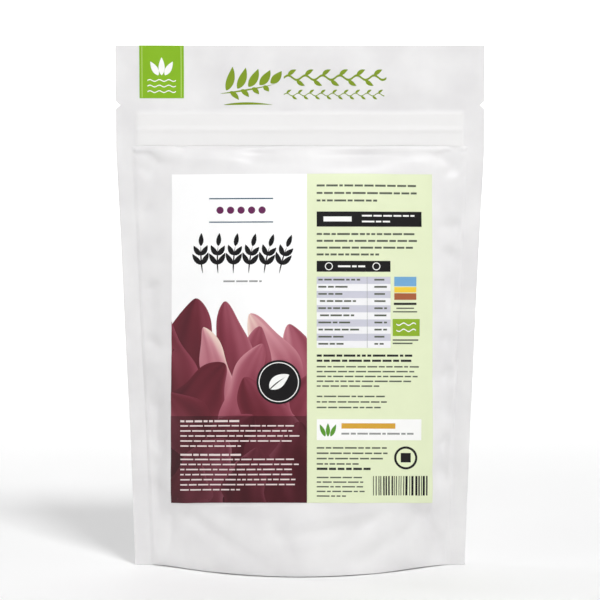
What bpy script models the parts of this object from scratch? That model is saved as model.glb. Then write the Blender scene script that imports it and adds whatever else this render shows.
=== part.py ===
# A sealed stand-up pouch of dried dulse: a front, a back and a gusset web of white film, a
# press-to-close zip, two stuck-on labels, and the dried seaweed fronds that fill it.
#
# Millimetres in the driving dimensions, metres in the scene. +Z is up and the front faces -Y.
# The origin is the middle of the base, on the surface that the pouch stands on.
#
# Every piece lies in the pouch's own film coordinates: s runs across the film from its centre
# line, t runs up it from the bottom edge, and share runs from 1 at the front web to -1 at the back.
import math

import bmesh
import bpy
import numpy as np

MM = 0.001

# The pouch, as measured on its film laid flat
POUCH_WIDTH = 180.0
POUCH_HEIGHT = 260.0
GUSSET_FOLD_HEIGHT = 50.0
SIDE_SEAL_WIDTH = 8.0
TOP_SEAL_HEIGHT = 12.0
ZIP_CENTRE_BELOW_TOP = 41.0
NOTCH_BELOW_TOP = 29.0
NOTCH_DEPTH = 2.2
NOTCH_HALF_HEIGHT = 1.9

# The filled, standing shape
BASE_HALF_DEPTH = 33.0
FOOT_HEIGHT = 6.0
SHOULDER_ROUNDING = 0.01
BASE_FLATTENING = 0.35
FLATTENING_REACH = 45.0
SEAL_LINE_AT_CENTRE = 13.5
SEAL_LINE_AT_SIDES = 44.0
SEAL_LINE_POWER = 1.6
GUSSET_CREST_AT_CENTRE = 20.0
GUSSET_CREST_POWER = 1.8

# Sheets, thicker than the real ones so that they stay solid
FILM_THICKNESS = 0.5
LABEL_THICKNESS = 0.3
FROND_THICKNESS = 0.6
SHEET_GAP = 0.3

# The zip's section: two strips, a headed rib and the channel that it snaps into
ZIP_STRIP_HEIGHT = 14.0
ZIP_STRIP_THICKNESS = 0.5
ZIP_STRIP_LENGTH = 154.0
ZIP_HALF_ROOM = 1.0
ZIP_RAMP = 2.5
ZIP_TAPER = 4.0

# Labels, in film coordinates
LABEL_LEFT_S = -61.2
LABEL_RIGHT_S = 62.8
LABEL_BOTTOM_T = 39.0
LABEL_TOP_T = 197.0
TAG_LEFT_S = -78.3
TAG_RIGHT_S = -56.7
TAG_HEIGHT = 25.6

# The space that the fronds may fill
FROND_TOP_T = 188.0
FROND_ROOM_NEEDED = 8.0
FROND_CRUMPLE = 0.28

SEAL_EDGE_S = POUCH_WIDTH / 2 - SIDE_SEAL_WIDTH
ZIP_CENTRE_T = POUCH_HEIGHT - ZIP_CENTRE_BELOW_TOP
ZIP_FOOT_T = ZIP_CENTRE_T - ZIP_STRIP_HEIGHT / 2 - 1.0
ZIP_HEAD_T = ZIP_CENTRE_T + ZIP_STRIP_HEIGHT / 2 + 1.0
NOTCH_T = POUCH_HEIGHT - NOTCH_BELOW_TOP
SHEET_STEP = FILM_THICKNESS + SHEET_GAP

INTEGRATION_STEPS = 240
PROBE = 0.05


def ramp(start, end, value):
    """0 before start, 1 after end, and a smooth rise between them."""
    part = np.clip((value - start) / (end - start), 0.0, 1.0)
    return part * part * (3.0 - 2.0 * part)


def bulge(t):
    """Half the depth of the filled body on its centre line: widest at the base, closing at the zip."""
    left = np.clip(1.0 - np.maximum(t, FOOT_HEIGHT) / ZIP_FOOT_T, 0.0, 1.0)
    return BASE_HALF_DEPTH * np.sqrt(left) * left / (left + SHOULDER_ROUNDING)


def half_depth(s, t):
    """How far the front film's middle surface stands in front of the pouch's middle plane."""
    two_films = SHEET_GAP / 2 + FILM_THICKNESS / 2
    gusset_leg = SHEET_STEP * (1.0 - ramp(GUSSET_FOLD_HEIGHT, GUSSET_FOLD_HEIGHT + 5.0, t))
    zip_room = ZIP_HALF_ROOM + ZIP_STRIP_THICKNESS + SHEET_GAP + FILM_THICKNESS / 2 - two_films
    in_zip_rows = ramp(ZIP_FOOT_T - ZIP_RAMP, ZIP_FOOT_T, t) - ramp(ZIP_HEAD_T, ZIP_HEAD_T + ZIP_RAMP, t)
    in_zip_length = 1.0 - ramp(SEAL_EDGE_S - ZIP_TAPER, SEAL_EDGE_S, np.abs(s))
    across = np.clip(1.0 - (s / SEAL_EDGE_S) ** 2, 0.0, 1.0)
    power = 1.0 + BASE_FLATTENING * np.exp(-((np.maximum(t, FOOT_HEIGHT) / FLATTENING_REACH) ** 2))
    return two_films + gusset_leg + zip_room * in_zip_rows * in_zip_length + bulge(t) * across**power


def across_position(s, t):
    """x of a film point. The film doesn't stretch, so where it bulges its edges draw in."""
    s, t = np.broadcast_arrays(np.asarray(s, float), np.asarray(t, float))
    steps = (np.arange(INTEGRATION_STEPS) + 0.5) / INTEGRATION_STEPS
    along = s[..., None] * steps
    high = t[..., None]
    slope = (half_depth(along + PROBE, high) - half_depth(along - PROBE, high)) / (2 * PROBE)
    return s * np.sqrt(np.clip(1.0 - slope**2, 0.05, 1.0)).mean(axis=-1)


def height_table():
    """Film heights and the heights above the surface that they reach, down the centre line."""
    t = np.linspace(0.0, POUCH_HEIGHT, 2601)
    middle = (t[1:] + t[:-1]) / 2
    slope = (half_depth(0.0, middle + PROBE) - half_depth(0.0, middle - PROBE)) / (2 * PROBE)
    rise = np.diff(t) * np.sqrt(np.clip(1.0 - slope**2, 0.05, 1.0))
    return t, np.concatenate([[0.0], np.cumsum(rise)])


FILM_T, FILM_Z = height_table()


def place(s, t, share=1.0):
    """Film coordinates to x, y, z in millimetres."""
    s, t, share = np.broadcast_arrays(np.asarray(s, float), np.asarray(t, float), np.asarray(share, float))
    return np.stack([across_position(s, t), -share * half_depth(s, t), np.interp(t, FILM_T, FILM_Z)], axis=-1)


def lifted(s, t, lift):
    """A point of the front film, moved off it along its outward normal."""
    to_right = place(s + PROBE, t) - place(s - PROBE, t)
    upward = place(s, np.minimum(t + PROBE, POUCH_HEIGHT)) - place(s, np.maximum(t - PROBE, 0.0))
    normal = np.cross(to_right, upward)
    normal /= np.linalg.norm(normal, axis=-1, keepdims=True)
    return place(s, t) + lift * normal


def stations(*stretches):
    """Grid lines: each stretch is (from, to, number of cells), and neighbours share an end."""
    lines = [np.linspace(start, end, cells + 1)[1:] for start, end, cells in stretches]
    return np.concatenate([[stretches[0][0]], *lines])


def material(name, colour, roughness):
    made = bpy.data.materials.new(name)
    made.use_nodes = True
    shader = made.node_tree.nodes["Principled BSDF"]
    shader.inputs["Base Color"].default_value = (*colour, 1.0)
    shader.inputs["Roughness"].default_value = roughness
    shader.inputs["Metallic"].default_value = 0.0
    made.diffuse_color = (*colour, 1.0)
    return made


def sheet(name, points, thickness, look, kept=None, front=True):
    """A solid sheet on a grid of points, rows by columns by xyz. kept marks the cells that exist."""
    rows, columns, _ = points.shape
    corner = np.arange(rows * columns).reshape(rows, columns)
    halves = [
        np.stack([corner[:-1, :-1], corner[:-1, 1:], corner[1:, 1:]], axis=-1),
        np.stack([corner[:-1, :-1], corner[1:, 1:], corner[1:, :-1]], axis=-1),
    ]
    triangles = np.stack(halves, axis=2)
    if kept is not None:
        triangles = triangles[kept]
    triangles = triangles.reshape(-1, 3)
    if not front:
        triangles = triangles[:, ::-1]
    used, triangles = np.unique(triangles, return_inverse=True)
    mesh = bpy.data.meshes.new(name)
    mesh.from_pydata((points.reshape(-1, 3)[used] * MM).tolist(), [], triangles.reshape(-1, 3).tolist())
    mesh.shade_smooth()
    mesh.materials.append(look)
    made = bpy.data.objects.new(name, mesh)
    bpy.context.scene.collection.objects.link(made)
    wall = made.modifiers.new("thickness", "SOLIDIFY")
    wall.thickness = thickness * MM
    wall.offset = 0.0
    return made


def film_lines():
    """Grid lines of the webs: on the label's edges, and close together at the seals and the zip."""
    columns = stations(
        (-POUCH_WIDTH / 2, -SEAL_EDGE_S, 1),
        (-SEAL_EDGE_S, -74, 2),
        (-74, LABEL_LEFT_S, 2),
        (LABEL_LEFT_S, LABEL_RIGHT_S, 14),
        (LABEL_RIGHT_S, 74, 2),
        (74, SEAL_EDGE_S, 2),
        (SEAL_EDGE_S, POUCH_WIDTH / 2, 1),
    )
    rows = stations(
        (0, FOOT_HEIGHT, 1),
        (FOOT_HEIGHT, LABEL_BOTTOM_T, 4),
        (LABEL_BOTTOM_T, GUSSET_FOLD_HEIGHT, 1),
        (GUSSET_FOLD_HEIGHT, GUSSET_FOLD_HEIGHT + 5, 1),
        (GUSSET_FOLD_HEIGHT + 5, LABEL_TOP_T, 11),
        (LABEL_TOP_T, ZIP_FOOT_T - ZIP_RAMP, 3),
        (ZIP_FOOT_T - ZIP_RAMP, ZIP_FOOT_T, 1),
        (ZIP_FOOT_T, ZIP_HEAD_T, 1),
        (ZIP_HEAD_T, NOTCH_T - NOTCH_HALF_HEIGHT, 1),
        (NOTCH_T - NOTCH_HALF_HEIGHT, NOTCH_T + NOTCH_HALF_HEIGHT, 2),
        (NOTCH_T + NOTCH_HALF_HEIGHT, POUCH_HEIGHT - TOP_SEAL_HEIGHT, 1),
        (POUCH_HEIGHT - TOP_SEAL_HEIGHT, POUCH_HEIGHT, 1),
    )
    return columns, rows


def film_web(name, share, look):
    """The front or the back web, with a small tear notch in each side edge."""
    columns, rows = film_lines()
    s, t = np.meshgrid(columns, rows)
    at_notch = (np.abs(t - NOTCH_T) < PROBE) & (np.abs(s) > POUCH_WIDTH / 2 - PROBE)
    s = np.where(at_notch, np.sign(s) * (POUCH_WIDTH / 2 - NOTCH_DEPTH), s)
    return sheet(name, place(s, t, share), FILM_THICKNESS, look, front=share > 0)


def seal_line(s):
    """Film height up to which the gusset is welded to the web in front of it: a U across the pouch."""
    out = np.clip(np.abs(s) / SEAL_EDGE_S, 0.0, 1.0)
    return SEAL_LINE_AT_CENTRE + (SEAL_LINE_AT_SIDES - SEAL_LINE_AT_CENTRE) * out**SEAL_LINE_POWER


def gusset_crest(s):
    """Height of the gusset's fold above the surface: low in the middle, high in the side seals."""
    out = np.clip(np.abs(s) / SEAL_EDGE_S, 0.0, 1.0)
    at_sides = np.interp(GUSSET_FOLD_HEIGHT, FILM_T, FILM_Z)
    return GUSSET_CREST_AT_CENTRE + (at_sides - GUSSET_CREST_AT_CENTRE) * out**GUSSET_CREST_POWER


def gusset_leg(columns):
    """The gusset from the front's bottom edge to its fold: flat on the web, then arching inwards."""
    line = seal_line(columns)
    foot = np.full_like(line, FOOT_HEIGHT)
    on_web = [0.0 * line, foot, foot + (line - foot) / 3, foot + (line - foot) * 2 / 3]
    welded = np.stack([lifted(columns, t, -SHEET_STEP) for t in on_web])
    start = lifted(columns, line, -SHEET_STEP)
    part = np.linspace(0.0, 1.0, 6)[:, None]
    free = np.stack(
        [
            start[:, 0] + 0.0 * part,
            start[:, 1] * (1.0 - part),
            start[:, 2] + (gusset_crest(columns) - start[:, 2]) * np.sin(part * math.pi / 2),
        ],
        axis=-1,
    )
    return np.concatenate([welded, free])


def bottom_gusset(look):
    columns, _ = film_lines()
    front_leg = gusset_leg(columns)
    back_leg = front_leg[-2::-1] * np.array([1.0, -1.0, 1.0])
    return sheet("bottom_gusset", np.concatenate([front_leg, back_leg]), FILM_THICKNESS, look)


def extruded(name, section, length, look):
    """A strip of one section, given as (y, z) corners in order, running along X."""
    shape = bmesh.new()
    outline = [shape.verts.new((-length / 2 * MM, y * MM, z * MM)) for y, z in section]
    face = shape.faces.new(outline)
    grown = bmesh.ops.extrude_face_region(shape, geom=[face])
    moved = [part for part in grown["geom"] if isinstance(part, bmesh.types.BMVert)]
    bmesh.ops.translate(shape, verts=moved, vec=(length * MM, 0, 0))
    bmesh.ops.recalc_face_normals(shape, faces=shape.faces)
    mesh = bpy.data.meshes.new(name)
    shape.to_mesh(mesh)
    shape.free()
    mesh.materials.append(look)
    made = bpy.data.objects.new(name, mesh)
    bpy.context.scene.collection.objects.link(made)
    return made


def zip_strips(look):
    """The zip, closed: an arrow-headed rib on the front strip, held by the hooks of the back one."""
    room = ZIP_HALF_ROOM
    outside = room + ZIP_STRIP_THICKNESS
    edge = ZIP_STRIP_HEIGHT / 2
    rib = [(-outside, -edge), (-room, -edge), (-room, -0.3), (0.2, -0.3), (0.2, -0.7), (0.7, -0.2)]
    rib += [(y, -z) for y, z in reversed(rib)]
    hooks = [(outside, -edge), (room, -edge), (room, -1.5), (-0.4, -1.5), (-0.5, -0.6), (-0.1, -0.6)]
    hooks += [(-0.1, -1.0), (room, -1.0)]
    hooks += [(y, -z) for y, z in reversed(hooks)]
    centre = float(np.interp(ZIP_CENTRE_T, FILM_T, FILM_Z)) * MM
    strips = [
        extruded("zip_rib_strip", rib, ZIP_STRIP_LENGTH, look),
        extruded("zip_channel_strip", hooks, ZIP_STRIP_LENGTH, look),
    ]
    for strip in strips:
        strip.location.z = centre
    return strips


def label(name, columns, rows, look):
    """A label stuck on the front web, a sheet gap off it."""
    lift = FILM_THICKNESS / 2 + SHEET_GAP + LABEL_THICKNESS / 2
    return sheet(name, lifted(*np.meshgrid(columns, rows), lift), LABEL_THICKNESS, look)


def front_label(look):
    """The main label, on the film's own grid lines so that the two bend together."""
    columns, rows = film_lines()
    columns = columns[(columns > LABEL_LEFT_S - PROBE) & (columns < LABEL_RIGHT_S + PROBE)]
    rows = rows[(rows > LABEL_BOTTOM_T - PROBE) & (rows < LABEL_TOP_T + PROBE)]
    return label("front_label", columns, rows, look)


def green_tag(look):
    """The small tag on the flat header, flush with the pouch's top edge."""
    columns = np.array([TAG_LEFT_S, TAG_RIGHT_S])
    rows = np.array([POUCH_HEIGHT - TAG_HEIGHT, POUCH_HEIGHT])
    return label("green_tag", columns, rows, look)


# Each frond: root s and t, length, lean from upright in degrees, fingers, widest finger, share
FRONDS = [
    (-6.0, 58.0, 122.0, -4.0, 5, 20.0, 0.80),
    (14.0, 46.0, 136.0, 14.0, 5, 22.0, 0.53),
    (10.0, 186.0, 136.0, 172.0, 5, 24.0, 0.27),
    (-16.0, 45.0, 140.0, -14.0, 6, 22.0, 0.0),
    (-8.0, 187.0, 138.0, 190.0, 5, 24.0, -0.27),
    (12.0, 46.0, 138.0, 10.0, 6, 21.0, -0.53),
    (-2.0, 58.0, 120.0, 2.0, 5, 20.0, -0.80),
]
FROND_ROWS = 12
STIPE_WIDTH = 3.5


def crumple(s, t):
    """How far the packed fronds are pushed towards the front, the same for all, so that none cross."""
    broad = np.sin(s / 13.0 + t / 21.0) + 0.7 * np.sin(t / 9.5 - s / 17.0 + 1.2)
    fine = 0.45 * np.sin(s / 4.6 - t / 7.0 + 0.5)
    return FROND_CRUMPLE * (broad + fine) / 2.15


def frond_outline(length, fingers, widest):
    """Film offsets of a palmate blade: a stipe that widens, splits into fingers and forks at the tips."""
    rows = np.linspace(0.0, 1.0, FROND_ROWS + 1)[:, None]
    finger = np.repeat(np.arange(fingers), 3)
    side = np.tile([-1.0, 0.0, 1.0], fingers)
    from_middle = finger - (fingers - 1) / 2
    reach = 1.0 - 0.10 * np.abs(from_middle) - 0.06 * (finger % 2)
    narrow_tip = 1.0 - 0.62 * rows**6
    wide = (STIPE_WIDTH / fingers + (widest - STIPE_WIDTH / fingers) * ramp(0.0, 0.62, rows)) / 2 * narrow_tip
    gap = 0.6 + 5.5 * ramp(0.3, 1.0, rows)
    u = from_middle * (2 * wide + gap) + side * wide
    fork = 7.0 * np.where(side == 0.0, 1.0, 0.0) * ramp(0.86, 1.0, rows)
    v = length * rows * reach - fork
    split_row = (FROND_ROWS * (0.42 + 0.12 * (np.arange(fingers - 1) % 2))).astype(int)
    kept = np.ones((FROND_ROWS, 3 * fingers - 1), bool)
    for web, split in enumerate(split_row):
        kept[split:, 3 * web + 2] = False
    return u, v, kept


def frond(number, root_s, root_t, length, lean, fingers, widest, share, look):
    """One dried frond, laid in the pouch at its share of the way from the back to the front."""
    u, v, kept = frond_outline(length, fingers, widest)
    angle = math.radians(lean)
    s = root_s + u * math.cos(angle) + v * math.sin(angle)
    t = root_t - u * math.sin(angle) + v * math.cos(angle)
    floor_t = GUSSET_CREST_AT_CENTRE + 22.0
    t = np.clip(t, floor_t, FROND_TOP_T)
    room = np.clip(1.0 - FROND_ROOM_NEEDED / bulge(t), 0.02, 1.0)
    widest_s = SEAL_EDGE_S * np.sqrt(room)
    s = widest_s * np.tanh(s / widest_s)
    pushed = share + crumple(s, t) * (1.0 - share**2)
    return sheet(f"dulse_frond_{number}", place(s, t, pushed), FROND_THICKNESS, look, kept)


def clear_scene():
    for old in list(bpy.data.objects):
        bpy.data.objects.remove(old)


def build():
    clear_scene()
    film = material("white_film", (0.86, 0.86, 0.87), 0.5)
    zip_plastic = material("zip_plastic", (0.88, 0.88, 0.86), 0.4)
    label_paper = material("label_paper", (0.93, 0.94, 0.90), 0.6)
    green_paper = material("green_paper", (0.30, 0.52, 0.03), 0.6)
    dried_frond = material("dried_frond", (0.16, 0.03, 0.05), 0.6)
    film_web("front_film", 1.0, film)
    film_web("back_film", -1.0, film)
    bottom_gusset(film)
    zip_strips(zip_plastic)
    front_label(label_paper)
    green_tag(green_paper)
    for number, facts in enumerate(FRONDS, start=1):
        frond(number, *facts, dried_frond)


build()
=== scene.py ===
import math

import bpy
import numpy as np
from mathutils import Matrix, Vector


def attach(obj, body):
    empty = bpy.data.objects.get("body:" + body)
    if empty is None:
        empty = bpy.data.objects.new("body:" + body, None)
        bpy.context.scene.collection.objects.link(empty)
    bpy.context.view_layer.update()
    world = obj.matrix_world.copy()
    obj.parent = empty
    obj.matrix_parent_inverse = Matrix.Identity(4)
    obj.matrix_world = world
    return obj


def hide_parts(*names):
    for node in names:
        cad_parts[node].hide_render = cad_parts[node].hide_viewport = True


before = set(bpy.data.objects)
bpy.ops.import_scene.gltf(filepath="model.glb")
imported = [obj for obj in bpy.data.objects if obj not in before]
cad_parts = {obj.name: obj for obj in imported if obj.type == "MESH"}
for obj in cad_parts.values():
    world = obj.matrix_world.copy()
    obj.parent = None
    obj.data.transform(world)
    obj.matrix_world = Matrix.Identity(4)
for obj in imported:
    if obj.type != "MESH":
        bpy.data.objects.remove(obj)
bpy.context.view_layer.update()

# The looks of a filled stand-up pouch. Sizes are millimetres and angles degrees until a mesh is
# made. Film coordinates: s runs across the film from its centre line, t up it from the bottom edge.
mm = 0.001

pouch = {
    "width": 180, "height": 260, "sideSeal": 8, "topSeal": 12,
    "zipBelowTop": 41, "zipFlange": 7.6, "notchBelowTop": 29, "notchDepth": 2.2, "notchHalf": 1.9,
    "gussetFold": 50, "sealLineCentre": 13.5, "sealLineSides": 44, "sealLinePower": 1.6,
    "crestCentre": 20, "crestPower": 1.8,
    "baseHalfDepth": 33, "foot": 6, "shoulderRounding": 0.01,
    "baseFlattening": 0.35, "flatteningReach": 45, "bodyTop": 211,
    "film": 0.22, "weldGap": 0.04, "legFade": 5,
}
sealEdge = pouch["width"] / 2 - pouch["sideSeal"]
zipCentre = pouch["height"] - pouch["zipBelowTop"]
notchHeight = pouch["height"] - pouch["notchBelowTop"]
photo = {"middle": 300, "headerTop": 48.2, "mmPerPixel": 0.4865}
camera = {"distance": 1100, "height": 207, "pitch": 3.94, "focalPixels": 2244, "frame": 600}


def ramp(start, end, value):          # 0 before start, 1 after end, smooth between
    part = np.clip((value - start) / (end - start), 0, 1)
    return part * part * (3 - 2 * part)


# The broad form
# bulge: half the body's depth on its centre line, a square root of what is left up to the zip
def bulge(t):
    left = np.clip(1 - np.maximum(t, pouch["foot"]) / pouch["bodyTop"], 0, 1)
    return pouch["baseHalfDepth"] * np.sqrt(left) * left / (left + pouch["shoulderRounding"])


# halfDepth: the bulge times (1 - the square of the way out to the seal) to a power near 1,
# on top of half the films and gusset legs that lie welded together
def halfDepth(s, t):
    layer = pouch["film"] + pouch["weldGap"]
    legs = 1 - ramp(pouch["gussetFold"], pouch["gussetFold"] + pouch["legFade"], t)
    across = np.clip(1 - (s / sealEdge) ** 2, 0, 1)
    reach = np.maximum(t, pouch["foot"]) / pouch["flatteningReach"]
    swell = bulge(t) * across ** (1 + pouch["baseFlattening"] * np.exp(-reach**2))
    return layer / 2 + layer * legs + swell


# formAt: the film doesn't stretch, so x is the sum of the steps along s times the cosine of the
# slope there, and z the same down the centre line along t
def formAt(s, t):
    probe = 0.05
    steps = (np.arange(160) + 0.5) / 160
    along = s[..., None] * steps
    slope = (halfDepth(along + probe, t[..., None]) - halfDepth(along - probe, t[..., None])) / (2 * probe)
    x = s * np.sqrt(np.clip(1 - slope**2, 0.05, 1)).mean(axis=-1)
    lineT = np.linspace(0, pouch["height"], 2601)
    middle = (lineT[1:] + lineT[:-1]) / 2
    rise = (halfDepth(0, middle + probe) - halfDepth(0, middle - probe)) / (2 * probe)
    climbed = np.cumsum(np.diff(lineT) * np.sqrt(np.clip(1 - rise**2, 0.05, 1)))
    z = np.interp(t, lineT, np.concatenate([[0], climbed]))
    return np.stack([x, -halfDepth(s, t), z], axis=-1)


# readGrid: a cubic curve through the grid's points, first along s and then along t
def readGrid(grid, startS, stepS, startT, stepT, s, t):
    def cubic(position, count):
        cell = np.clip(np.floor(position).astype(int), 0, count - 2)
        part = position - cell
        weights = [
            -0.5 * part + part**2 - 0.5 * part**3, 1 - 2.5 * part**2 + 1.5 * part**3,
            0.5 * part + 2 * part**2 - 1.5 * part**3, -0.5 * part**2 + 0.5 * part**3,
        ]
        return [(np.clip(cell + k - 1, 0, count - 1), weight) for k, weight in enumerate(weights)]
    rows = cubic((t - startT) / stepT, grid.shape[0])
    columns = cubic((s - startS) / stepS, grid.shape[1])
    return sum(grid[r, c] * (wr * wc)[..., None] for r, wr in rows for c, wc in columns)


# The film, relaxed as cloth that can't stretch
cloth = {
    "step": 1.6, "rounds": 300, "swell": 0.02, "hold": 0.03, "fold": 0.1, "stiff": 0.1, "squeeze": 0.25,
    "slantSqueeze": 0.1, "slantStretch": 0.6, "footFree": 0.02, "calmEdges": (6, 3, 5),
    "grain": 0.85, "contents": 0.93, "give": 4.6, "pinched": 0.35,
    "labelCalm": 0.8, "calmSide": (75, 68), "calmLow": (26, 34), "calmHigh": (203, 197),
    "puckers": 9, "puckerFrom": 34, "puckerTo": 202, "puckerTurn": 32,
    "puckerLength": (8, 20), "puckerWidth": (2, 4.2), "puckerDepth": (0.8, 3),
    # each soft fold pressed into the film: s, t, length, width, heading (90 is up the film), depth
    "frontFolds": [
        (-74, 74, 26, 5, 84, 2.6), (76, 52, 17, 4, 96, 2.4),
        (-73, 51, 11, 2.6, 18, 2.2), (70, 49, 10, 2.6, 160, 1.8),
        (-72, 203, 11, 3, 128, 2.4), (74, 207, 9, 2.6, 35, 2.4),
        (-40, 17, 24, 4.4, 150, 2.4), (46, 15, 20, 4, 28, 1.9),
        (-76, 128, 22, 4, 92, 1.3), (76, 122, 30, 4.5, 88, 1.6),
        (30, 204, 26, 4, 4, 1.2), (-22, 206, 20, 3, 176, 1.1),
        (-70, 192, 16, 4.5, 118, 2.6), (68, 190, 18, 4.5, 66, 2.2),
        (-68, 96, 20, 4, 74, 1.6), (69, 84, 22, 4.5, 108, 1.8),
        (12, 22, 26, 3.6, 8, 2), (-58, 28, 16, 3.6, 52, 2.6),
        (60, 28, 18, 3.6, 132, 2.8), (-69.5, 18, 9, 2, 80, 1.8),
        (-71, 60, 12, 2.6, 78, 2.6), (70, 22, 12, 2.2, 112, 1.8),
        (-8, 17, 12, 3.4, 118, 1.9), (32, 24, 15, 3.2, 40, 2),
    ],
    "backFolds": [
        (-72, 66, 24, 5, 98, 2.8), (74, 88, 26, 4.5, 86, 2.6),
        (-70, 50, 12, 2.8, 20, 2.4), (72, 52, 12, 2.8, 158, 2.4),
        (-70, 204, 12, 3, 130, 2.6), (70, 202, 12, 3, 48, 2.6),
        (12, 120, 34, 5, 62, 3.4), (-30, 160, 26, 4.4, 118, 3),
        (28, 22, 26, 4.6, 24, 2.6), (-34, 84, 22, 4.4, 70, 2.8),
        (40, 168, 22, 4, 40, 2.8), (-8, 188, 30, 3.6, 172, 2.2),
        (-50, 34, 20, 3.8, 140, 2.6), (50, 64, 20, 4, 112, 2.6),
        (-12, 52, 24, 4, 154, 2.6), (26, 92, 18, 3.6, 128, 2.2),
        (-54, 128, 18, 3.8, 46, 2.4), (4, 150, 16, 3.4, 20, 2),
    ],
}


noise = {"waves": 26, "shortest": 9, "longest": 60, "even": 2.2}


# softNoise: a sum of plane waves whose lengths and headings are drawn at random, longer ones stronger
def softNoise(s, t, seed):
    draw = np.random.default_rng(seed)
    total = np.zeros_like(s)
    for _ in range(noise["waves"]):
        length = draw.uniform(noise["shortest"], noise["longest"])
        heading = draw.uniform(0, 2 * math.pi)
        phase = draw.uniform(0, 2 * math.pi)
        along = s * math.cos(heading) + t * math.sin(heading)
        total += length / noise["longest"] * np.sin(2 * math.pi * along / length + phase)
    return total / noise["even"]


def pressedFolds(s, t, folds):        # sum of long narrow bell curves, each turned to its heading
    total = np.zeros_like(s)
    for atS, atT, length, width, heading, depth in folds:
        cosine, sine = math.cos(math.radians(heading)), math.sin(math.radians(heading))
        along = (s - atS) * cosine + (t - atT) * sine
        beside = -(s - atS) * sine + (t - atT) * cosine
        total += depth * np.exp(-((along / length) ** 2) - (beside / width) ** 2)
    return total


# sidePuckers: short folds at a steady rise up both side seals, each turned and sized at random
def sidePuckers(seed):
    draw = np.random.default_rng(seed)
    low, high = cloth["puckerFrom"], cloth["puckerTo"]
    made = []
    for way in (-1, 1):
        for number in range(cloth["puckers"]):
            t = low + (high - low) * (number + draw.uniform(0.1, 0.9)) / cloth["puckers"]
            length = draw.uniform(*cloth["puckerLength"])
            heading = draw.uniform(-cloth["puckerTurn"], cloth["puckerTurn"])
            s = way * (sealEdge - 0.5 * length)
            made.append((s, t, length, draw.uniform(*cloth["puckerWidth"]), heading,
                         draw.uniform(*cloth["puckerDepth"])))
    return made


def gridPairs(count, step, start):    # points step apart, as two lists that share none
    return slice(start, count - step, 2 * step), slice(start + step, count, 2 * step)


# pull: moves both ends of every pair along the line between them, until it has its flat length
def pull(points, free, first, second, rest, squeeze, stretch):
    gap = points[second] - points[first]
    length = np.sqrt((gap**2).sum(axis=-1)) + 1e-9
    miss = (length - rest) / length
    miss = np.where(miss > 0, miss * stretch, miss * squeeze)
    weight = free[first] + free[second] + 1e-9
    points[first] += gap * (miss * free[first] / weight)[..., None]
    points[second] -= gap * (miss * free[second] / weight)[..., None]


def upright(right, up):               # the unit vector square to both
    normal = np.cross(right, up)
    return normal / (np.linalg.norm(normal, axis=-1, keepdims=True) + 1e-9)


def uprightsOf(grid):
    return upright(np.gradient(grid, axis=1), np.gradient(grid, axis=0))


def flatness(points):                 # how far each point's neighbours' middle lies from it
    middle = np.zeros_like(points)
    middle[1:-1, 1:-1] = (points[1:-1, :-2] + points[1:-1, 2:] + points[:-2, 1:-1] + points[2:, 1:-1]) / 4
    middle[1:-1, 1:-1] -= points[1:-1, 1:-1]
    return middle


# relaxWeb: pressure swells the film, the contents keep it from falling in, and every thread
# of the flat film keeps its length, so what is left over gathers in folds
def relaxWeb(seed, folds):
    columns = int(round(2 * sealEdge / cloth["step"])) + 1
    rows = int(round(pouch["bodyTop"] / cloth["step"])) + 1
    sLine = np.linspace(-sealEdge, sealEdge, columns)
    tLine = np.linspace(0, pouch["bodyTop"], rows)
    s, t = np.meshgrid(sLine, tLine)
    stepS, stepT = sLine[1] - sLine[0], tLine[1] - tLine[0]
    form = formAt(s, t)
    free = np.ones_like(s)
    free[:, 0] = free[:, -1] = free[-1] = 0
    free[0] = cloth["footFree"]
    inward = cloth["grain"] * softNoise(s, t, seed) + pressedFolds(s, t, folds + sidePuckers(seed))
    low, high, side = cloth["calmEdges"]
    inward *= ramp(0, low, t) * ramp(pouch["bodyTop"], pouch["bodyTop"] - high, t)
    inward *= ramp(sealEdge, sealEdge - side, np.abs(s))
    if folds is cloth["frontFolds"]:      # the label stiffens the film
        under = ramp(*cloth["calmSide"], np.abs(s))
        under = under * ramp(*cloth["calmLow"], t) * ramp(*cloth["calmHigh"], t)
        inward *= 1 - cloth["labelCalm"] * under
    aim = form + np.stack([0 * s, inward, 0 * s], axis=-1)
    points = aim.copy()
    floor = np.maximum(-form[..., 1] * cloth["contents"] - cloth["give"], cloth["pinched"])
    floor = np.minimum(floor, -form[..., 1])
    slant = math.hypot(stepS, stepT)
    every = slice(None)
    for _ in range(cloth["rounds"]):
        points += uprightsOf(points) * (cloth["swell"] * free)[..., None]
        points += (aim - points) * (cloth["hold"] * free)[..., None]
        for reach, squeeze, stretch in ((2, cloth["fold"], 0), (1, cloth["squeeze"], 1)):
            for start in range(2 * reach):
                left, right = gridPairs(columns, reach, start)
                low, high = gridPairs(rows, reach, start)
                pull(points, free, (every, left), (every, right), reach * stepS, squeeze, stretch)
                pull(points, free, (low, every), (high, every), reach * stepT, squeeze, stretch)
                if reach == 1:
                    for one, other in ((slice(0, -1), slice(1, None)), (slice(1, None), slice(0, -1))):
                        pull(points, free, (low, one), (high, other), slant,
                             cloth["slantSqueeze"], cloth["slantStretch"])
        bent = flatness(points)
        points[2:-2, 2:-2] -= flatness(bent)[2:-2, 2:-2] * cloth["stiff"]
        points[..., 1] = np.minimum(points[..., 1], -floor)
    return points - form, (-sealEdge, stepS, 0, stepT)


# The seams and the header sway a little out of the middle plane, as a filled pouch's do
sway = {
    "seam": 1.5, "length": 128, "phase": 0.7, "seamLow": (4, 40), "seamHigh": (200, 214),
    "header": 1.6, "headerBelow": 20, "headerMiddle": 0.4,
    "ripple": 0.45, "looseTop": (226, 240), "looseSide": (0.9, 1), "looseLow": (6, 30),
}


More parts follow.
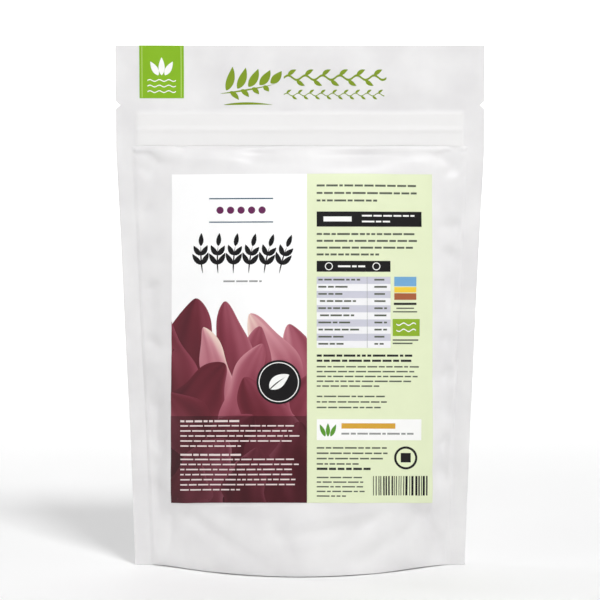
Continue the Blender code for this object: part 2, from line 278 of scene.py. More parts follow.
# swayAt: a sine up the film, times the way out to the side to the fourth power, plus a shallow
# arch across the header, plus soft noise in the header and along the side seals
def swayAt(s, t):
    out = np.abs(s) / (pouch["width"] / 2)
    seam = np.sin(2 * math.pi * t / sway["length"] + sway["phase"] * np.sign(s)) * out**4
    seam = sway["seam"] * seam * ramp(*sway["seamLow"], t) * (1 - ramp(*sway["seamHigh"], t))
    header = ramp(pouch["bodyTop"] - sway["headerBelow"], pouch["height"], t)
    header = header * (sway["headerMiddle"] - out**2)
    loose = ramp(*sway["looseSide"], out) * ramp(*sway["looseLow"], t)
    loose = np.maximum(ramp(*sway["looseTop"], t), loose)
    return seam + sway["header"] * header + sway["ripple"] * softNoise(s, t, 31) * loose


webGrid = (-90, 1, 0, 1)              # where the webs' grid starts and its step, along s and t


def buildWeb(side, slack, place):
    s, t = np.meshgrid(np.linspace(-90, 90, 181), np.linspace(0, 260, 261))
    points = formAt(s, t)
    if slack is not None:
        inBody = (np.abs(s) <= sealEdge) & (t <= pouch["bodyTop"])
        moved = readGrid(slack, *place, s, t)
        points = points + np.where(inBody[..., None], moved, 0)
    points[..., 1] = points[..., 1] * side + swayAt(s, t)
    return points


print("relaxing the film")
frontSlack, slackPlace = relaxWeb(3, cloth["frontFolds"])
backSlack, slackPlace = relaxWeb(8, cloth["backFolds"])
webs = {1: buildWeb(1, frontSlack, slackPlace), -1: buildWeb(-1, backSlack, slackPlace)}
smoothWeb = buildWeb(1, None, slackPlace)
print("front film moved by up to", round(float(np.abs(frontSlack).max()), 2), "mm")

# What is pressed into the film or shows through it
relief = {
    "flange": 0.6, "ridge": 0.42, "ridgeWidth": 1.4, "zipEnd": 78.5, "endStep": 2.5,
    "lowStep": 1.5, "highStep": 3, "highInset": 0.6,
    "bottomWeld": 0.14, "bottomEdge": 1.6, "sideWeld": 0.05, "sideEdge": 3,
}


# sealLine: film height of the round-bottom weld, which rises with a power of the way out
def sealLine(s):
    out = np.clip(np.abs(s) / sealEdge, 0, 1)
    rise = pouch["sealLineSides"] - pouch["sealLineCentre"]
    return pouch["sealLineCentre"] + rise * out ** pouch["sealLinePower"]


def flangeAt(s, t):                   # 1 over the zip's flanges, 0 beyond them, soft at the edges
    low, high = zipCentre - pouch["zipFlange"], zipCentre + pouch["zipFlange"]
    high -= relief["highInset"]
    band = ramp(low - relief["lowStep"], low, t) - ramp(high, high + relief["highStep"], t)
    return band * (1 - ramp(relief["zipEnd"], relief["zipEnd"] + relief["endStep"], np.abs(s)))


# reliefAt: a raised flat band over the zip with a rounded ridge along its middle, less small
# steps down where the film is welded at its sides and along the round bottom
def reliefAt(s, t):
    ridge = relief["ridge"] * np.exp(-(((t - zipCentre) / relief["ridgeWidth"]) ** 2))
    side = ramp(sealEdge - relief["sideEdge"] / 2, sealEdge + relief["sideEdge"] / 2, np.abs(s))
    line = sealLine(s)
    bottom = 1 - ramp(line - relief["bottomEdge"] / 2, line + relief["bottomEdge"] / 2, t)
    band = flangeAt(s, t)
    return (relief["flange"] + ridge) * band - relief["sideWeld"] * side - relief["bottomWeld"] * bottom


# surfaceAt: a place on the film, moved out along the film's own upright by lift and relief
def surfaceAt(side, s, t, lift):
    def read(atS, atT):
        return readGrid(webs[side], *webGrid, atS, atT)
    normal = upright(read(s + 0.5, t) - read(s - 0.5, t), read(s, t + 0.5) - read(s, t - 0.5))
    return read(s, t) + normal * side * (lift + reliefAt(s, t))[..., None]


# Meshes
# closedSheet: the top grid, the bottom grid turned over, and a wall along every open edge
def closedSheet(top, bottom, kept=None):
    rows, columns, _ = top.shape
    corner = np.arange(rows * columns).reshape(rows, columns)
    quads = np.stack([corner[:-1, :-1], corner[:-1, 1:], corner[1:, 1:], corner[1:, :-1]], axis=-1)
    quads = quads.reshape(-1, 4) if kept is None else quads[kept]
    edges = np.stack([quads, np.roll(quads, -1, axis=1)], axis=-1).reshape(-1, 2)
    count = rows * columns
    forward = edges[:, 0] * count + edges[:, 1]
    openEdges = edges[~np.isin(forward, edges[:, 1] * count + edges[:, 0])]
    start, end = openEdges.T
    walls = np.stack([end, start, start + count, end + count], axis=-1)
    faces = np.concatenate([quads, quads[:, ::-1] + count, walls])
    points = np.concatenate([top.reshape(-1, 3), bottom.reshape(-1, 3)])
    used, faces = np.unique(faces, return_inverse=True)
    return points[used], faces.reshape(-1, 4), used % count


# thickSheet: a grid with half its thickness to either side, along its own upright
def thickSheet(middle, thickness, kept=None):
    half = uprightsOf(middle) * thickness / 2
    return closedSheet(middle + half, middle - half, kept)


def placeObject(name, data):
    made = bpy.data.objects.new(name, data)
    bpy.context.scene.collection.objects.link(made)
    return made


def placePiece(name, mesh, material, nodes=()):
    mesh.materials.append(material)
    piece = placeObject(name, mesh)
    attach(piece, "root")
    if nodes:
        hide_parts(*nodes)
    return piece


def makePiece(name, points, faces, material, nodes=()):
    mesh = bpy.data.meshes.new(name)
    mesh.from_pydata((points * mm).tolist(), [], faces.tolist())
    mesh.shade_smooth()
    mesh.set_sharp_from_angle(angle=math.radians(50))
    return placePiece(name, mesh, material, nodes)


def addValues(piece, name, values):   # one number for each point
    made = piece.data.attributes.new(name, "FLOAT", "POINT")
    made.data.foreach_set("value", values.astype(np.float32))


def addColours(piece, colours):       # one colour for each point
    full = np.ones((len(colours), 4), np.float32)
    full[:, :3] = colours
    made = piece.data.attributes.new("ink", "FLOAT_COLOR", "POINT")
    made.data.foreach_set("color", full.ravel())


def lines(*stretches):                # (from, to, cells) stretches that share their ends
    parts = [np.linspace(start, end, cells + 1)[1:] for start, end, cells in stretches]
    return np.concatenate([[stretches[0][0]], *parts])


# Materials
def newMaterial(name, values):
    material = bpy.data.materials.new(name)
    material.use_nodes = True
    tree = material.node_tree
    shader = tree.nodes["Principled BSDF"]
    for socket, value in values.items():
        shader.inputs[socket].default_value = value
    return material, tree, shader


def addNode(tree, kind, inputs=None, **settings):
    node = tree.nodes.new(kind)
    for key, value in settings.items():
        setattr(node, key, value)
    for key, value in (inputs or {}).items():
        if isinstance(value, bpy.types.NodeSocket):
            tree.links.new(value, node.inputs[key])
        else:
            node.inputs[key].default_value = value
    return node


# Handling marks: broad soft dents and fine creases as one height, and the dents as one mask of tone and
# painted shade
def marksAndShadeGroup():
    tree = bpy.data.node_groups.new("handlingMarksAndShade", "ShaderNodeTree")
    tree.interface.new_socket("Vector", in_out="INPUT", socket_type="NodeSocketVector")
    for name, value in (("Dent Size", 60), ("Crease Size", 190), ("Crease Share", 0.35)):
        socket = tree.interface.new_socket(name, in_out="INPUT", socket_type="NodeSocketFloat")
        socket.default_value = value
    for name in ("Height", "Mask"):
        tree.interface.new_socket(name, in_out="OUTPUT", socket_type="NodeSocketFloat")
    start = tree.nodes.new("NodeGroupInput").outputs
    end = tree.nodes.new("NodeGroupOutput").inputs
    broad = {"Vector": start["Vector"], "Scale": start["Dent Size"], "Detail": 3, "Roughness": 0.5}
    fine = {"Vector": start["Vector"], "Scale": start["Crease Size"], "Detail": 4, "Distortion": 1.4}
    dents = addNode(tree, "ShaderNodeTexNoise", broad).outputs[0]
    creases = addNode(tree, "ShaderNodeTexNoise", fine, noise_type="RIDGED_MULTIFRACTAL").outputs[0]
    scaled = addNode(tree, "ShaderNodeMath", {0: creases, 1: start["Crease Share"]}, operation="MULTIPLY")
    height = addNode(tree, "ShaderNodeMath", {0: dents, 1: scaled.outputs[0]}, operation="ADD")
    # the dents' mask: tone on every finish, and on the film also painted shade and light, darker where the
    # dents sink
    toneAndShade = addNode(tree, "ShaderNodeMapRange", {0: dents, 1: 0.35, 2: 0.65})
    tree.links.new(height.outputs[0], end["Height"])
    tree.links.new(toneAndShade.outputs[0], end["Mask"])
    return tree


marksAndShade = marksAndShadeGroup()


def placeMarksAndShade(tree, dentSize, creaseSize, creaseShare):
    where = addNode(tree, "ShaderNodeTexCoord")
    return addNode(tree, "ShaderNodeGroup", {
        "Vector": where.outputs["Object"], "Dent Size": dentSize,
        "Crease Size": creaseSize, "Crease Share": creaseShare,
    }, node_tree=marksAndShade)


def colourBetween(tree, share, first, second, blend="MIX"):
    first, second = (
        side if isinstance(side, bpy.types.NodeSocket) else (*side, 1) for side in (first, second)
    )
    inputs = {0: share, 6: first, 7: second}
    return addNode(tree, "ShaderNodeMix", inputs, data_type="RGBA", blend_type=blend).outputs[2]


# Each finish: its marks (dent size, crease size, crease share), the two colours and the two
# roughnesses that they turn between, its bump (strength, depth) and the shader's own values
finishes = {
    "white_film": {
        # the film's two colours: partly the contents showing through, partly painted shade and light of its
        # dents
        "marks": (42, 120, 0.1), "colours": ((0.755, 0.746, 0.752), (0.815, 0.808, 0.81)),
        "backed": (0.829, 0.822, 0.819), "rough": (0.42, 0.56), "bump": (0.3, 0.5),
        "shader": {"Coat Weight": 0.12, "Coat Roughness": 0.35, "IOR": 1.48,
                   "Subsurface Weight": 0.08, "Subsurface Radius": (0.002, 0.002, 0.002)},
    },
    "label_paper": {
        "marks": (90, 900, 0.5), "printed": ((0.985, 0.985, 0.985), (1, 1, 1)),
        "rough": (0.44, 0.54), "bump": (0.15, 0.05),
        "shader": {"Coat Weight": 0.08, "Coat Roughness": 0.3, "Specular IOR Level": 0.45},
    },
    "label_ink": {
        "marks": (90, 900, 0.5), "printed": ((0.985, 0.985, 0.985), (1, 1, 1)),
        "rough": (0.44, 0.54), "bump": (0.1, 0.05),
        "shader": {"Coat Weight": 0.02, "Coat Roughness": 0.3, "Specular IOR Level": 0.22},
    },
    "zip_plastic": {
        "marks": (150, 700, 0.4), "colours": ((0.8, 0.81, 0.8), (0.88, 0.88, 0.87)),
        "rough": (0.28, 0.4), "bump": (0.2, 0.05),
        "shader": {"IOR": 1.5, "Subsurface Weight": 0.15, "Subsurface Radius": (0.001, 0.001, 0.001)},
    },
    "dried_frond": {
        "marks": (110, 480, 0.8), "colours": ((0.055, 0.008, 0.014), (0.2, 0.035, 0.05)),
        "rough": (0.45, 0.75), "bump": (0.6, 0.4),
        "shader": {"Sheen Weight": 0.15, "Subsurface Weight": 0.05},
    },
}


def makeFinish(name):
    finish = finishes[name]
    material, tree, shader = newMaterial(name, finish["shader"])
    marks = placeMarksAndShade(tree, *finish["marks"])
    toneAndShade = marks.outputs["Mask"]
    if "printed" in finish:               # each point's own ink, mottled a little
        ink = addNode(tree, "ShaderNodeAttribute", attribute_name="ink").outputs["Color"]
        mottle = colourBetween(tree, toneAndShade, *finish["printed"])
        colour = colourBetween(tree, 1, ink, mottle, "MULTIPLY")
    else:
        # on the film these two colours paint shade and light over its dents
        colour = colourBetween(tree, toneAndShade, *finish["colours"])
    if "backed" in finish:                # another tint where the zip's flanges back the film
        backed = addNode(tree, "ShaderNodeAttribute", attribute_name="backed").outputs["Fac"]
        colour = colourBetween(tree, backed, colour, finish["backed"])
    tree.links.new(colour, shader.inputs["Base Color"])
    rough = dict(zip((3, 4), finish["rough"]))
    rough = addNode(tree, "ShaderNodeMapRange", {0: toneAndShade, **rough})
    tree.links.new(rough.outputs[0], shader.inputs["Roughness"])
    strength, depth = finish["bump"]
    bump = {"Height": marks.outputs["Height"], "Strength": strength, "Distance": depth * mm}
    bump = addNode(tree, "ShaderNodeBump", bump)
    tree.links.new(bump.outputs[0], shader.inputs["Normal"])
    return material


filmLook = makeFinish("white_film")
paperLook = makeFinish("label_paper")
inkLook = makeFinish("label_ink")
zipLook = makeFinish("zip_plastic")
frondLook = makeFinish("dried_frond")


# The two webs
# webLines: the places of the columns and rows, closer together at seams, zip and notches
def webLines():
    seam, half = sealEdge, pouch["width"] / 2
    columns = lines((-half, -seam - 1, 6), (-seam - 1, -seam + 3, 8), (-seam + 3, seam - 3, 128),
                    (seam - 3, seam + 1, 8), (seam + 1, half, 6))
    low, high = zipCentre - pouch["zipFlange"], zipCentre + pouch["zipFlange"]
    notchLow, notchHigh = notchHeight - pouch["notchHalf"], notchHeight + pouch["notchHalf"]
    sealLow = pouch["height"] - pouch["topSeal"]
    rows = lines((0, 6, 5), (6, 208, 162), (208, low - 1, 3), (low - 1, low + 0.4, 6),
                 (low + 0.4, zipCentre - 2.4, 4), (zipCentre - 2.4, zipCentre + 2.4, 16),
                 (zipCentre + 2.4, high - 0.4, 4), (high - 0.4, high + 1, 6), (high + 1, notchLow, 2),
                 (notchLow, notchHigh, 8), (notchHigh, sealLow - 1, 8),
                 (sealLow - 1, sealLow + 1, 5), (sealLow + 1, pouch["height"], 7))
    return columns, rows


def notched(s, t):                    # draws the outer columns in to a point at the tear notches
    bite = pouch["notchDepth"] * np.clip(1 - np.abs(t - notchHeight) / pouch["notchHalf"], 0, 1)
    out = np.clip((np.abs(s) - sealEdge) / pouch["sideSeal"], 0, 1)
    return s - np.sign(s) * bite * out


def makeWeb(name, side, node):
    columns, rows = webLines()
    s, t = np.meshgrid(columns * side, rows)
    s = notched(s, t)
    half = pouch["film"] / 2
    outside = surfaceAt(side, s, t, half)
    points, faces, source = closedSheet(outside, surfaceAt(side, s, t, -half))
    piece = makePiece(name, points, faces, filmLook, [node])
    addValues(piece, "backed", flangeAt(s, t).ravel()[source])


print("front and back webs")
makeWeb("front_web", 1, "front_film")
makeWeb("back_web", -1, "back_film")


gusset = {"weldedRows": 15, "archRows": 26, "crumple": 0.8, "crumpleReach": 60, "seed": 21}


# The gusset: welded to each web up to the seal line, then a quarter sine arch up to its fold
def makeGusset():
    columns, _ = webLines()
    line = sealLine(columns)
    layer = pouch["film"] + pouch["weldGap"]
    out = np.clip(np.abs(columns) / sealEdge, 0, 1)
    foldHeight = float(smoothWeb[int(pouch["gussetFold"]), 90, 2])
    crest = pouch["crestCentre"] + (foldHeight - pouch["crestCentre"]) * out ** pouch["crestPower"]
    legs = {}
    for side in (1, -1):
        share = np.linspace(0, 1, gusset["weldedRows"])[:, None]
        s, t = columns + 0 * share, line * share
        welded = surfaceAt(side, s, t, -layer)
        start = welded[-1]
        part = np.linspace(0, 1, gusset["archRows"])[1:, None]
        deep = gusset["crumpleReach"] * part + 0 * columns
        crumple = gusset["crumple"] * softNoise(columns + 0 * part, deep, gusset["seed"])
        crumple *= np.sin(part * math.pi) * (1 - out**3)
        middle = swayAt(columns, np.full_like(columns, pouch["gussetFold"]))
        free = np.stack([
            start[:, 0] + 0 * part,
            middle * part + start[:, 1] * (1 - part),
            start[:, 2] + (crest - start[:, 2]) * np.sin(part * math.pi / 2) + crumple,
        ], axis=-1)
        legs[side] = np.concatenate([welded, free])
    sheet = np.concatenate([legs[1], legs[-1][-2::-1]])
    points, faces, _ = thickSheet(sheet, pouch["film"])
    piece = makePiece("gusset_web", points, faces, filmLook, ["bottom_gusset"])
    addValues(piece, "backed", np.zeros(len(points)))


print("gusset")
makeGusset()

# The zip's strips: each a section of (y, z) corners carried along X
zipParts = {
    "length": 154,
    "rib": [(-0.55, -7), (-0.3, -7), (-0.3, -0.25), (-0.06, -0.22), (-0.06, -0.5), (0.26, 0),
            (-0.06, 0.5), (-0.06, 0.22), (-0.3, 0.25), (-0.3, 7), (-0.55, 7)],
    "channel": [(0.57, -7), (0.32, -7), (0.32, -1.25), (-0.14, -1.05), (-0.24, -0.36), (-0.1, -0.34),
                (-0.08, -0.66), (0.34, -0.72), (0.34, 0.72), (-0.08, 0.66), (-0.1, 0.34), (-0.24, 0.36),
                (-0.14, 1.05), (0.32, 1.25), (0.32, 7), (0.57, 7)],
}


def makeZipStrip(name, section, node):
    corners = np.array(section, float)
    along = np.linspace(-zipParts["length"] / 2, zipParts["length"] / 2, 90)
    height = float(smoothWeb[int(zipCentre), 90, 2])
    y = corners[None, :, 0] + swayAt(along, np.full_like(along, zipCentre))[:, None]
    ring = np.stack([along[:, None] + 0 * y, y, corners[None, :, 1] + height + 0 * y], axis=-1)
    count = len(corners)
    index = np.arange(len(along) * count).reshape(len(along), count)
    after = np.roll(index, -1, axis=1)
    quads = np.stack([index[:-1], after[:-1], after[1:], index[1:]], axis=-1).reshape(-1, 4)
    faces = [list(q) for q in quads.tolist()] + [index[0, ::-1].tolist(), index[-1].tolist()]
    mesh = bpy.data.meshes.new(name)
    mesh.from_pydata((ring.reshape(-1, 3) * mm).tolist(), [], faces)
    placePiece(name, mesh, zipLook, [node])


print("zip")
makeZipStrip("zip_rib", zipParts["rib"], "zip_rib_strip")
makeZipStrip("zip_channel", zipParts["channel"], "zip_channel_strip")

# The dried fronds inside: root s and t, length, lean, fingers, widest finger, share of the depth
fronds = {
    "rows": 56, "acrossFinger": 6, "stipe": 3.5, "thickness": 0.45, "clear": 0.6,
    "topT": 188, "floorT": 42,
    "room": 8, "crumple": 0.28, "frill": 0.05, "outerShorter": 0.1, "oddShorter": 0.06,
    "edgeWave": 0.07, "between": 0.6, "spread": 5.5, "tip": 9, "parting": (0.42, 0.12),
    "each": [
        (-6, 58, 122, -4, 5, 20, 0.8), (14, 46, 136, 14, 5, 22, 0.53),
        (10, 186, 136, 172, 5, 24, 0.27), (-16, 45, 140, -14, 6, 22, 0),
        (-8, 187, 138, 190, 5, 24, -0.27), (12, 46, 138, 10, 6, 21, -0.53),
        (-2, 58, 120, 2, 5, 20, -0.8),
    ],
}


# frondOutline: fingers side by side that widen, part and fork at their tips
def frondOutline(length, fingers, widest):
    rows = np.linspace(0, 1, fronds["rows"] + 1)[:, None]
    per = fronds["acrossFinger"] + 1
    finger = np.repeat(np.arange(fingers), per)
    side = np.tile(np.linspace(-1, 1, per), fingers)
    off = finger - (fingers - 1) / 2
    reach = 1 - fronds["outerShorter"] * np.abs(off) - fronds["oddShorter"] * (finger % 2)
    narrow = fronds["stipe"] / fingers
    edge = 1 + fronds["edgeWave"] * np.sin(rows * 31 + finger * 2.1 + side)
    wide = (narrow + (widest - narrow) * ramp(0, 0.62, rows)) / 2 * (1 - 0.62 * rows**6)
    apart = fronds["between"] + fronds["spread"] * ramp(0.3, 1, rows)
    u = off * (2 * wide + apart) + side * wide * edge
    v = length * rows * reach - fronds["tip"] * (1 - np.abs(side)) ** 1.2 * ramp(0.84, 1, rows)
    first, later = fronds["parting"]
    split = (fronds["rows"] * (first + later * (np.arange(fingers - 1) % 2))).astype(int)
    kept = np.ones((fronds["rows"], per * fingers - 1), bool)
    for web, row in enumerate(split):
        kept[row:, per * web + per - 1] = False
    return u, v, kept


# makeFrond: the outline bent to its place in film coordinates, then laid between the front and the
# back film at its share of the depth, pushed to and fro by sums of sines
def makeFrond(number, rootS, rootT, length, lean, fingers, widest, share):
    u, v, kept = frondOutline(length, fingers, widest)
    angle = math.radians(lean)
    s = rootS + u * math.cos(angle) + v * math.sin(angle)
    t = np.clip(rootT - u * math.sin(angle) + v * math.cos(angle), fronds["floorT"], fronds["topT"])
    widestS = sealEdge * np.sqrt(np.clip(1 - fronds["room"] / bulge(t), 0.02, 1))
    s = widestS * np.tanh(s / widestS)
    broad = np.sin(s / 13 + t / 21) + 0.7 * np.sin(t / 9.5 - s / 17 + 1.2)
    fine = 0.45 * np.sin(s / 4.6 - t / 7 + 0.5)
    pushed = fronds["crumple"] * (broad + fine) / 2.15
    pushed += fronds["frill"] * np.sin(s / 1.7 + t / 3.1) * np.sin(t / 2.3 - s / 3.4)
    share = share + pushed * (1 - share**2)
    front, back = (surfaceAt(side, s, t, -fronds["clear"]) for side in (1, -1))
    middle = front * (0.5 + share[..., None] / 2) + back * (0.5 - share[..., None] / 2)
    points, faces, _ = thickSheet(middle, fronds["thickness"], kept)
    makePiece(f"frond_{number}", points, faces, frondLook, [f"dulse_frond_{number}"])


print("fronds")
for number, facts in enumerate(fronds["each"], start=1):
    makeFrond(number, *facts)


# Labels and print
# ink: colours are given as they look in the photograph, 0 to 255, and turned into ink: the screen's
# own curve undone, over the light that falls on the label
toneCurve = {"light": 1.02, "most": 0.98}


def ink(red, green, blue):
    seen = np.array([red, green, blue], float) / 255
    linear = np.where(seen < 0.04045, seen / 12.92, ((seen + 0.055) / 1.055) ** 2.4)
    return np.clip(linear / toneCurve["light"], 0, toneCurve["most"])


# seenAt: the film point that the camera sees at a place of the flat layout, found by sliding
# each point along the film until it is there
def seenAt(x, y):
    s = (x - photo["middle"]) * photo["mmPerPixel"]
    t = pouch["height"] - (y - photo["headerTop"]) * photo["mmPerPixel"]
    pitch = math.radians(camera["pitch"])
    for _ in range(24):
        point = readGrid(smoothWeb, *webGrid, s, t)
        away = point - np.array([0, -camera["distance"], camera["height"]])
        depth = away[..., 1] * math.cos(pitch) - away[..., 2] * math.sin(pitch)
        up = away[..., 2] * math.cos(pitch) + away[..., 1] * math.sin(pitch)
        seenX = photo["middle"] + camera["focalPixels"] * away[..., 0] / depth
        seenY = photo["middle"] - camera["focalPixels"] * up / depth
        s = s + (x - seenX) * photo["mmPerPixel"] * 0.9
        t = t - (y - seenY) * photo["mmPerPixel"] * 0.9
    return s, t


label = {
    "left": 172.5, "top": 174.5, "width": 126, "height": 159.6, "split": 65.4,
    "thickness": 0.12, "gap": 0.02, "inkGap": 0.005, "mapFrom": -4, "mapStep": 2,
    "white": (255, 255, 255), "green": (228, 237, 199),
}
labelGrid = (label["mapFrom"], label["mapStep"])
labelX, labelY = np.meshgrid(*(
    np.arange(label["mapFrom"], label[side] + 6, label["mapStep"]) for side in ("width", "height")
))
labelMap = np.stack(seenAt(label["left"] + labelX / photo["mmPerPixel"],
                           label["top"] + labelY / photo["mmPerPixel"]), axis=-1)
labelTop = pouch["film"] / 2 + label["gap"] + label["thickness"]
# The print's inks, each as it should look
printInks = {
    "black": (18, 16, 18), "moss": (92, 98, 84), "charcoal": (44, 46, 42), "grey": (150, 152, 150),
    "white": (248, 248, 246), "lilac": (204, 204, 216), "pale": (242, 242, 244),
    "leaf": (92, 152, 50), "ochre": (214, 164, 58), "ivory": (250, 250, 248), "plum": (104, 40, 86),
    "teal": (50, 86, 106), "grass": (142, 176, 44), "sky": (116, 170, 212), "maize": (240, 204, 66),
    "rust": (168, 96, 62), "blush": (232, 216, 214), "paper": label["green"],
    "line": (190, 218, 120), "lime": (128, 153, 36),
}
inkOf = {name: ink(*shade) for name, shade in printInks.items()}


def onLabel(x, y, lift):              # layout millimetres from the label's top left corner
    film = readGrid(labelMap, *labelGrid, *labelGrid, x, y)
    return surfaceAt(1, film[..., 0], film[..., 1], lift)


def onHeader(x, y, lift):             # film coordinates on the flat header
    return surfaceAt(1, x, y, lift)


class Print:
    def __init__(self, place, base, seed=0):
        self.place, self.base, self.draw = place, base, np.random.default_rng(seed)
        self.points, self.faces, self.colours, self.count = [], [], [], 0

    # add: a patch of the layout, as two grids of x and y, raised by its layer into a thin slab
    def add(self, x, y, colour, layer=0.03, kept=None):
        lift = self.base + layer
        top, bottom = self.place(x, y, lift), self.place(x, y, self.base)
        turned = np.cross(top[0, 1] - top[0, 0], top[1, 0] - top[0, 0])[1] > 0
        if turned:
            top, bottom = top[:, ::-1], bottom[:, ::-1]
            kept = None if kept is None else kept[:, ::-1]
        points, faces, source = closedSheet(top, bottom, kept)
        colour = inkOf[colour] if isinstance(colour, str) else colour
        shades = np.broadcast_to(np.asarray(colour, float), (*x.shape, 3))
        shades = (shades[:, ::-1] if turned else shades).reshape(-1, 3)
        self.points.append(points)
        self.faces.append(faces + self.count)
        self.colours.append(shades[source])
        self.count += len(points)

    def finish(self, name, slotName):
        points, faces = np.concatenate(self.points), np.concatenate(self.faces)
        piece = makePiece(name, points, faces, inkLook)
        addColours(piece, np.concatenate(self.colours))


def bar(art, left, top, width, height, colour, layer=0.04):
    x, y = np.meshgrid(np.linspace(left, left + width, 2 + int(width / 1.6)),
                       np.linspace(top, top + height, 2 + int(height / 1.6)))
    art.add(x, y, colour, layer)


def disc(art, centreX, centreY, radius, colour, layer=0.03, cells=14):
    # square to circle: each side of the square is bowed out to the rim
    u, v = np.meshgrid(np.linspace(-1, 1, cells + 1), np.linspace(-1, 1, cells + 1))
    x, y = centreX + radius * u * np.sqrt(1 - v**2 / 2), centreY + radius * v * np.sqrt(1 - u**2 / 2)
    art.add(x, y, colour, layer)


def ring(art, centreX, centreY, radius, width, colour, layer=0.03):
    # two half circles that meet
    for start in (0, math.pi):
        turn, out = np.meshgrid(np.linspace(start, start + math.pi, 25), [radius - width, radius])
        art.add(centreX + out * np.cos(turn), centreY + out * np.sin(turn), colour, layer)


# barRow: short bars of random width, side by side
def barRow(art, left, right, top, height, colour, layer=0.03, fill=1):
    end = left + (right - left) * fill
    while left < end - 1.2:
        width = min(art.draw.uniform(1.6, 6.4), end - left)
        bar(art, left, top, width, height, colour, layer)
        left += width + max(0.75, 0.7 * height)


# bladeShape: a strip that turns steadily along its length, whose half width follows a sine to the
# power of its fullness, low for a broad blade, with its margin waved by a shorter sine
def bladeShape(x, y, length, heading, bend, width, rows=16, columns=5,
               fullness=0.85, lean=0.8, waved=0, phase=0):
    along = (1 - np.cos(np.linspace(0, math.pi, rows))) / 2
    turn = np.radians(heading + bend * along)
    step = length * np.diff(along)
    centreX = x + np.concatenate([[0], np.cumsum(np.sin((turn[1:] + turn[:-1]) / 2) * step)])
    centreY = y - np.concatenate([[0], np.cumsum(np.cos((turn[1:] + turn[:-1]) / 2) * step)])
    half = width / 2 * np.sin(math.pi * np.clip(along, 0.0006, 0.9994) ** lean) ** fullness
    side = np.linspace(-1, 1, columns)
    margin = 1 + waved * np.sin(along[:, None] * 17 + phase + 2 * side) * np.abs(side)
    beside = side * half[:, None] * margin
    turn = turn[:, None]
    return centreX[:, None] + beside * np.cos(turn), centreY[:, None] + beside * np.sin(turn)


def blade(art, x, y, length, heading, bend, width, colour, layer=0.03, rows=16, columns=5):
    art.add(*bladeShape(x, y, length, heading, bend, width, rows, columns), colour, layer)


# wave: a line of even thickness that follows a sine
def wave(art, left, right, y, height, pitch, thickness, colour, layer=0.03):
    x = np.linspace(left, right, 2 + int((right - left) / 0.7))
    centre = y + height * np.sin(2 * math.pi * (x - left) / pitch)
    art.add(np.stack([x, x]), np.stack([centre - thickness / 2, centre + thickness / 2]), colour, layer)


print("label")


def makeLabel():
    edge = label["split"]
    columns = lines((0, edge - 0.05, 33), (edge - 0.05, edge + 0.05, 1), (edge + 0.05, label["width"], 31))
    x, y = np.meshgrid(columns, np.linspace(0, label["height"], 82))
    bottom = pouch["film"] / 2 + label["gap"]
    top = onLabel(x, y, bottom + label["thickness"])
    points, faces, source = closedSheet(top[::-1], onLabel(x, y, bottom)[::-1])
    shade = np.where((x < edge)[..., None], ink(*label["white"]), ink(*label["green"]))
    piece = makePiece("label_sheet", points, faces, paperLook, ["front_label"])
    addColours(piece, shade[::-1].reshape(-1, 3)[source])


makeLabel()

# The picture: broad overlapping blades that fan up from the label's lower edge, back ones first
picture = {
    "left": 0, "right": 65.4, "top": 49, "bottom": 159.6, "overlayTop": 117.5, "cell": 1.3,
    "tones": [(74, 24, 34), (104, 36, 48), (134, 58, 74), (166, 90, 106), (206, 142, 152), (238, 212, 200)],
    "overlayDim": 0.5, "layer": 0.007, "base": 0.03, "form": (0.62, 1.25, 0.16),
    "crown": 88, "crownWaves": ((6, 9, 0), (3, 4.1, 1)),
    # each blade's root, length, heading, bend, width, palest tone and how far it is lit to one side
    "blades": [
        (10, 172, 112, -4, 10, 30, 1.1, 0.7), (62, 176, 104, 8, -22, 26, 3.4, -0.8),
        (34, 170, 92, 2, 16, 30, 1, 0.6), (66, 150, 88, -4, -30, 20, 4.9, -0.9),
        (2, 150, 88, 6, -30, 24, 1.4, 0.6), (46, 160, 88, -22, 40, 22, 2.8, -0.6),
        (24, 165, 104, 12, -22, 21, 2.5, 0.8), (72, 164, 74, -14, -16, 24, 1.8, -0.7),
        (14, 146, 74, 26, -50, 15, 4.6, 0.9), (52, 150, 60, 2, 38, 19, 2.4, 0.7),
        (-6, 160, 76, 10, 30, 26, 0.9, 0.6), (36, 158, 78, -16, 44, 18, 3.2, -0.8),
        (66, 156, 62, -34, 34, 20, 2.2, 0.8), (22, 164, 64, -4, -38, 24, 1.5, -0.7),
        (48, 172, 76, 10, -40, 25, 1.6, 0.8), (4, 172, 66, 20, 26, 24, 1.4, -0.6),
        (34, 176, 60, 8, 34, 26, 2.4, 0.7), (62, 178, 58, -10, 20, 26, 1.5, -0.8),
        (14, 180, 54, -6, 40, 24, 2.6, 0.7), (46, 182, 50, -20, 30, 24, 2, -0.7),
        (28, 184, 48, 24, -30, 22, 1.4, 0.6), (2, 184, 46, 2, 26, 24, 1.8, 0.7),
    ],
}


# clipTo: the patch held inside the picture's sides and two heights
def clipTo(x, y, low, high):
    inside = (x >= picture["left"]) & (x <= picture["right"]) & (y >= low) & (y <= high)
    kept = inside[:-1, :-1] | inside[1:, :-1] | inside[:-1, 1:] | inside[1:, 1:]
    x, y = np.clip(x, picture["left"], picture["right"]), np.clip(y, low, high)
    # a cell's area from its two diagonals, to drop the cells that the cut has flattened
    area = (x[1:, 1:] - x[:-1, :-1]) * (y[1:, :-1] - y[:-1, 1:])
    area -= (x[1:, :-1] - x[:-1, 1:]) * (y[1:, 1:] - y[:-1, :-1])
    return x, y, kept & (np.abs(area) > 0.02)


# addToPicture: the patch in two parts, the lower one dimmed by the dark band over it
def addToPicture(art, x, y, colour, layer):
    heights = (picture["top"], picture["overlayTop"], picture["bottom"])
    for low, high, bright in zip(heights, heights[1:], (1, picture["overlayDim"])):
        cutX, cutY, kept = clipTo(x, y, low, high)
        if kept.any():
            art.add(cutX, cutY, colour * bright, layer, kept)


